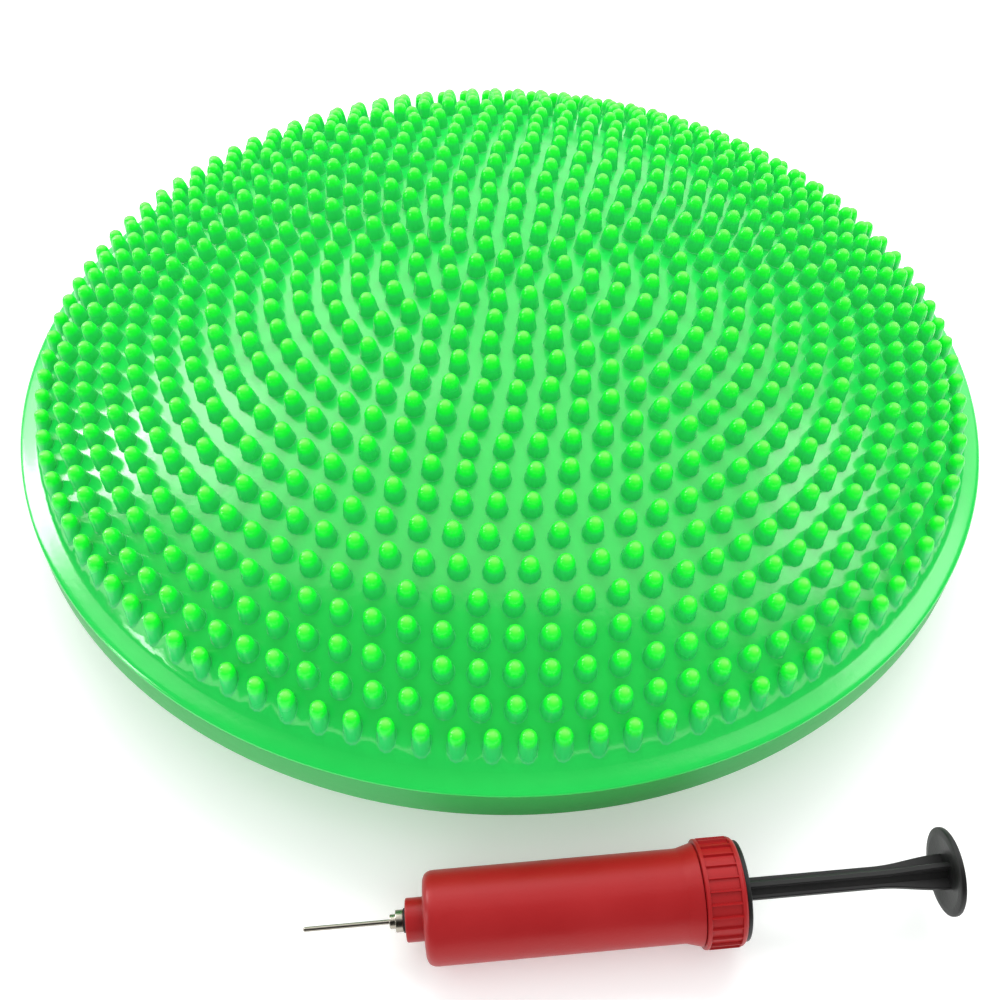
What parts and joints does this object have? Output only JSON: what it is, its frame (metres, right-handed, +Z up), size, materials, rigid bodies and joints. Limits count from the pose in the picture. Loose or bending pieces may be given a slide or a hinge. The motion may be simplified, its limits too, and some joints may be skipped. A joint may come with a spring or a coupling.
{
  "type": "balance pad",
  "caption": "Round inflatable balance pad with a nubbed upper dome, a plain rim band and a needle valve, with a small hand pump lying beside it.",
  "frame": {"origin": "centre of the flat patch under the pad that rests on the floor", "axes": "+Z up out of the nubbed side; the pump lies along the -Y side with its needle towards -X; the valve is at +Y"},
  "size_m": [0.336, 0.3735, 0.0875],
  "materials": {
    "pad_pvc": "soft glossy moulded PVC, slightly translucent",
    "valve_rubber": "matt rubber",
    "pump_red": "satin moulded plastic",
    "pump_black": "satin moulded plastic",
    "pump_white": "moulded plastic",
    "seal_rubber": "rubber",
    "brass": "turned",
    "nickel": "nickel plated",
    "needle_steel": "drawn steel"
  },
  "bodies": {
    "pad": {"top_skin": "pad_pvc", "nub_rings": "pad_pvc", "bottom_skin": "pad_pvc", "valve_seat": "pad_pvc", "valve_bung": "valve_rubber"},
    "pump": {"pump_barrel": "pump_red", "nozzle_insert": "brass", "outlet_flap": "seal_rubber", "flap_retainer": "pump_white", "pump_collar": "pump_red", "rod_guide": "pump_black"},
    "plunger": {"plunger_rod": "pump_black", "plunger_handle": "pump_black", "piston_head": "pump_white", "piston_ring": "seal_rubber"},
    "needle_seal": {"needle_washer": "seal_rubber"},
    "needle": {"needle_hub": "nickel", "needle_tube": "needle_steel"}
  },
  "joints": [
    {"name": "pump_lift", "type": "slide", "parent": "pad", "child": "pump", "axis": [0, 0, 1], "range_m": [0, 0.15]},
    {"name": "plunger_slide", "type": "slide", "parent": "pump", "child": "plunger", "axis": [0.9937, 0.1079, 0.0301], "range_m": [-0.034, 0.022]},
    {"name": "needle_travel", "type": "slide", "parent": "pump", "child": "needle_seal", "axis": [-0.9937, -0.1079, -0.0301], "range_m": [0, 0.004]},
    {"name": "needle_turn", "type": "hinge", "parent": "needle_seal", "child": "needle", "pos_m": [-0.0496, -0.1968, 0.01144], "axis": [-0.9937, -0.1079, -0.0301], "range_deg": [0, 1805]}
  ],
  "couplings": [
    {"joint": "needle_turn", "follows": "needle_travel", "rad_per_m": 7854}
  ]
}
